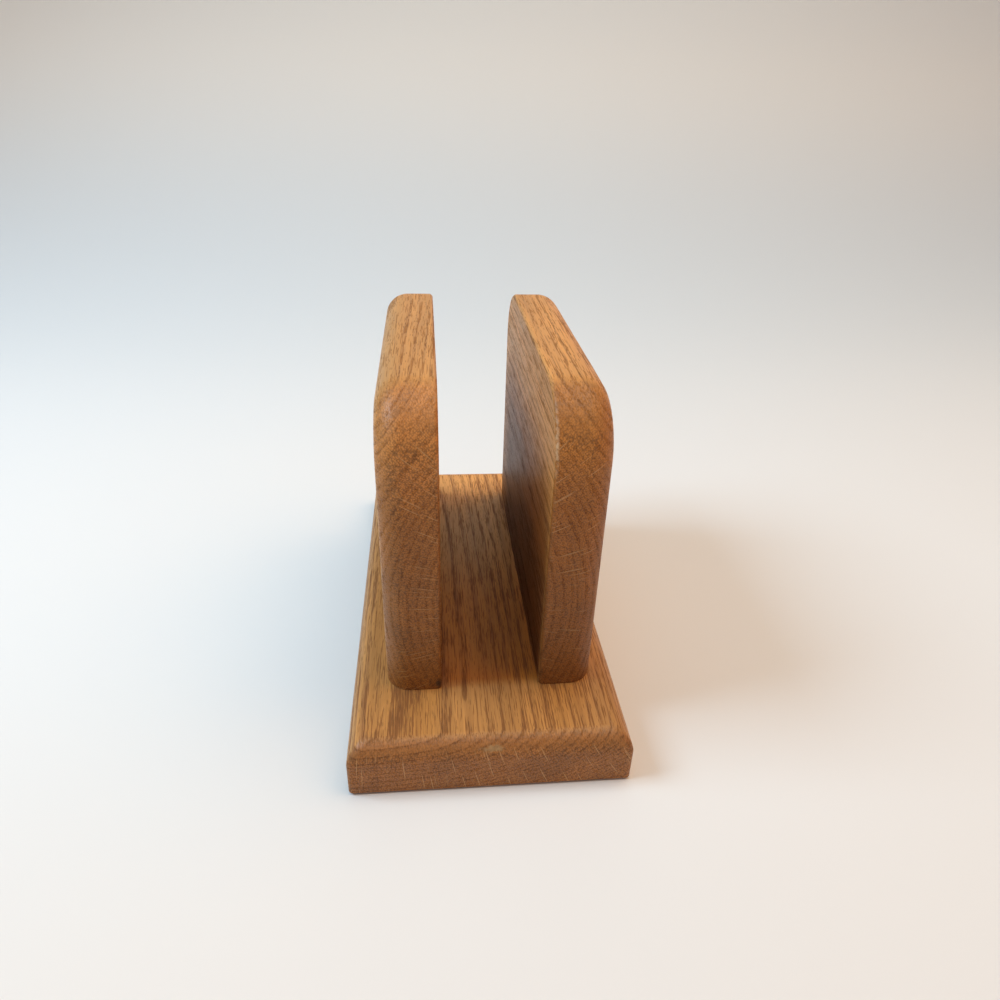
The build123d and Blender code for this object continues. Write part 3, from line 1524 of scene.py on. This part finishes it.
@dataclass(frozen=True)
class Lamp:
    """One square soft lamp that points at the object from a direction."""

    name: str
    direction: Triple
    distance: float
    size: float
    watts: float
    colour: Colour
    spread_degrees: float

    def build(self, aim: Vector) -> None:
        """Makes the lamp.

        Args:
            aim: The point that it lights.
        """
        data = bpy.data.lights.new(self.name, "AREA")
        data.shape = "SQUARE"
        data.size = self.size
        data.energy = self.watts
        data.color = self.colour
        data.spread = math.radians(self.spread_degrees)
        made = add_to_scene(self.name, data)
        direction = Vector(self.direction)
        made.location = aim + direction.normalized() * self.distance
        made.rotation_mode = "QUATERNION"
        made.rotation_quaternion = (-direction).to_track_quat("-Z", "Y")


KEY = Lamp("key", (-1.0, -0.03, 1.0), 1.15, 0.5, 4.7, (0.55, 0.76, 0.93), 120.0)
WARM_SIDE = Lamp("warm_side", (1.0, 0.0, 1.5), 1.6, 1.6, 4.6, (1.0, 0.5, 0.12), 90.0)
OVERHEAD = Lamp("overhead", (0.1, 0.1, 1.0), 1.6, 1.4, 5.1, (0.67, 0.88, 0.95), 120.0)


@dataclass
class Studio:
    """A plain pale sweep, soft light, and a camera at the photograph's viewing angle.

    The opening is half the width and half the length of the gap in the floor under the base, and the
    camera's angles are in radians.
    """

    half_width: float = 2.0
    opening: Span = (0.0435, 0.0905)
    near_edge: float = -1.5
    sweep_start: float = 0.32
    sweep_radius: float = 0.8
    wall_height: float = 2.4
    sweep_steps: int = 24
    join_distance: float = 1e-6
    image_size: float = 1000.0
    focal_px: float = 725.11
    sensor_mm: float = 36.0
    clip: Span = (0.01, 20.0)
    camera_place: Triple = (-0.01796, -0.24804, 0.19686)
    yaw: float = 0.111
    pitch: float = 0.5215
    roll: float = 0.0351
    lamps: tuple[Lamp, ...] = (KEY, WARM_SIDE, OVERHEAD)
    aim: Triple = (0.0, 0.0, 0.05)
    even_light: float = 0.265
    even_colour: Colour = (1.0, 0.88, 0.88)
    backdrop_light: float = 1.0
    backdrop: Colour = (0.8, 0.79, 0.78)

    def camera(self) -> None:
        """Makes the camera and gives it to the scene."""
        ahead = math.cos(self.pitch)
        sight = Vector((math.sin(self.yaw) * ahead, math.cos(self.yaw) * ahead, -math.sin(self.pitch)))
        level = Vector((math.cos(self.yaw), -math.sin(self.yaw), 0.0))
        above = level.cross(sight)
        right = math.cos(self.roll) * level + math.sin(self.roll) * above
        up = math.cos(self.roll) * above - math.sin(self.roll) * level
        data = bpy.data.cameras.new("photo_camera")
        data.sensor_width = self.sensor_mm
        data.lens = self.focal_px * self.sensor_mm / self.image_size
        data.clip_start, data.clip_end = self.clip
        made = add_to_scene("photo_camera", data)
        turn = Matrix((right, up, -sight)).transposed().to_4x4()
        made.matrix_world = Matrix.Translation(self.camera_place) @ turn
        bpy.context.scene.camera = made

    def sweep(self) -> None:
        """Makes the floor, open under the base so that nothing lies on it there, and the wall behind."""
        line = []
        for turn in quarter_turn(self.sweep_steps, 0.0):
            rise = self.sweep_radius * (1.0 - math.cos(turn))
            line.append((self.sweep_start + self.sweep_radius * math.sin(turn), rise))
        line.append((line[-1][0], self.wall_height))
        mesh = bmesh.new()
        sides = (-self.half_width, self.half_width)
        self._grid(mesh, [[(x, y, z) for x in sides] for y, z in line])
        half_x, half_y = self.opening
        columns = (-self.half_width, -half_x, half_x, self.half_width)
        lines = (self.near_edge, -half_y, half_y, self.sweep_start)
        self._grid(mesh, [[(x, y, 0.0) for x in columns] for y in lines], open_cell=(1, 1))
        bmesh.ops.remove_doubles(mesh, verts=mesh.verts[:], dist=self.join_distance)
        data = bpy.data.meshes.new("pale_sweep")
        mesh.to_mesh(data)
        mesh.free()
        data.materials.append(CardFinish().material())
        add_to_scene("pale_sweep", data)

    @staticmethod
    def _grid(
        mesh: bmesh.types.BMesh, rows: Sequence[Sequence[Triple]], open_cell: tuple[int, ...] = ()
    ) -> None:
        """Adds a sheet of smooth four-sided faces.

        Args:
            mesh: The mesh.
            rows: Its rows of points.
            open_cell: Row and column of a face that is left out, if there is one.
        """
        grid = [[mesh.verts.new(point) for point in row] for row in rows]
        for i in range(len(grid) - 1):
            for j in range(len(grid[i]) - 1):
                if (i, j) != open_cell:
                    corners = (grid[i][j], grid[i][j + 1], grid[i + 1][j + 1], grid[i + 1][j])
                    mesh.faces.new(corners).smooth = True

    def surroundings(self) -> bpy.types.World:
        """Makes the world: a dim even light, seen as a pale backdrop.

        Returns:
            The world.
        """
        made = bpy.data.worlds.new("studio")
        made.use_nodes = True
        g = Graph(made.node_tree)
        even = g.node("ShaderNodeBackground", self.even_colour, self.even_light).outputs[0]
        pale = g.node("ShaderNodeBackground", self.backdrop, self.backdrop_light).outputs[0]
        path = g.node("ShaderNodeLightPath").outputs
        mirrored = g.math("MAXIMUM", path["Is Glossy Ray"], path["Is Transmission Ray"])
        seen = g.math("MAXIMUM", path["Is Camera Ray"], mirrored)
        g.node("ShaderNodeOutputWorld", g.node("ShaderNodeMixShader", seen, even, pale).outputs[0])
        return made

    def build(self) -> None:
        """Sets the whole stage."""
        self.camera()
        self.sweep()
        for lamp in self.lamps:
            lamp.build(Vector(self.aim))
        bpy.context.scene.world = self.surroundings()
        bpy.context.scene.view_settings.view_transform = "Standard"
        LOG.info("stage is set")


# ---------------------------------------------------------------------------------------------
# The napkin holder
# ---------------------------------------------------------------------------------------------

BASE_OAK = OakFinish(
    name="base_oak",
    pith_x_mm=-36.0,
    pith_z_mm=128.0,
    lean_x=0.0,
    lean_z=0.0117,
    bow_mm=0.73,
    mean_radius_mm=122.0,
    ring_width_mm=1.65,
    seed=3.7,
    late_wood=(0.475, 0.208, 0.05),
    early_wood=(0.2, 0.07, 0.015),
    ring_contrast=0.55,
    streak_contrast=0.8,
    tone_slope=(0.04, 0.5),
    foot_shade=1.0,
    # Painted shade: darkens the base between the uprights, fading out past its middle.
    slot=Slot(far_start_mm=-30.0, far_end_mm=40.0),
    slot_shade_tint=(0.9, 0.63, 0.17),
    end_tone=(0.62, 0.52, 0.44),
    blots=(PALE_AND_LIT_FAR_END, GLUE_SMEAR),
)
LEFT_OAK = OakFinish(
    name="left_upright_oak",
    pith_x_mm=45.0,
    pith_z_mm=50.0,
    lean_x=0.012,
    lean_z=-0.02,
    mean_radius_mm=85.0,
    ring_width_mm=2.6,
    seed=11.3,
    late_wood=(0.565, 0.252, 0.063),
    blots=(FOOT_CORNER_SHADE,),
)
RIGHT_OAK = OakFinish(
    name="right_upright_oak",
    pith_x_mm=-45.0,
    pith_z_mm=52.0,
    lean_x=-0.01,
    lean_z=0.015,
    mean_radius_mm=85.0,
    ring_width_mm=2.6,
    seed=23.9,
    wear=1.0,
    # Painted shade at the foot, stronger on this upright.
    foot_shade=0.64,
    end_tone=(0.49, 0.37, 0.18),
    high_end_tone=(0.6, 0.5, 0.34),
)


def screws_for(side: str, sizes: ScrewSizes) -> list[Screw]:
    """The two screws under one upright."""
    return [Screw(f"screw_{side}_{end}", sizes) for end in ("front", "back")]


def main() -> None:
    """Builds the stage and then each piece of the napkin holder."""
    logging.basicConfig(level=logging.INFO, format="%(name)s: %(message)s")
    Studio().build()
    oak = OakPatterns()
    sizes = ScrewSizes()
    left, right = screws_for("left", sizes), screws_for("right", sizes)
    BaseBoard(BASE_OAK, left + right).build(oak)
    Upright(LEFT_OAK, left, "left_upright").build(oak)
    Upright(RIGHT_OAK, right, "right_upright").build(oak)
    steel = SteelFinish().material()
    for screw in left + right:
        screw.build(steel)


if __name__ == "__main__":
    main()
